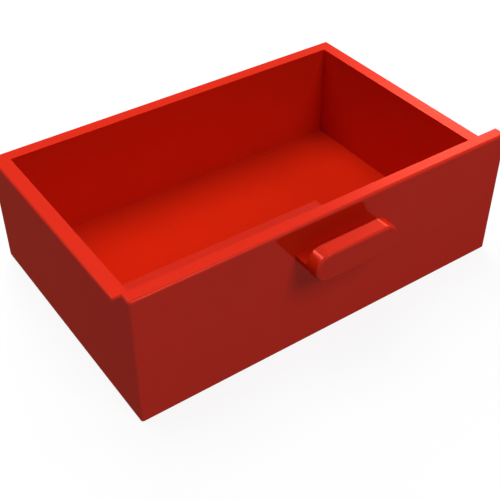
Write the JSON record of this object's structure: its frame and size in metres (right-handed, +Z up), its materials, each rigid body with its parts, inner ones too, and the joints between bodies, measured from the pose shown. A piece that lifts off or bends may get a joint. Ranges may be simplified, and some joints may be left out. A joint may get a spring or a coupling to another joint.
{
  "type": "storage drawer",
  "caption": "Open-topped storage drawer for small parts, with a raised front panel and a round-ended pull screwed on from inside.",
  "frame": {"origin": "middle of the underside, halfway between the side faces and halfway between the front face and the back face; the pull is not counted", "axes": "+X to the right as seen from in front of the pull, +Y from the front panel to the back panel, +Z up"},
  "size_m": [0.16, 0.1184, 0.0547],
  "materials": {
    "panel_plastic": "polished gloss, opaque red sheet",
    "pull_plastic": "polished gloss, opaque red sheet",
    "screw_steel": "bright zinc plated",
    "washer_nylon": "natural nylon"
  },
  "bodies": {
    "root": {"front_panel": "panel_plastic", "left_side_panel": "panel_plastic", "right_side_panel": "panel_plastic", "back_panel": "panel_plastic", "bottom_panel": "panel_plastic", "pull_plate": "pull_plastic", "pull_spacer": "pull_plastic", "left_pull_screw": "screw_steel", "right_pull_screw": "screw_steel", "left_screw_washer": "washer_nylon", "right_screw_washer": "washer_nylon"}
  },
  "joints": []
}
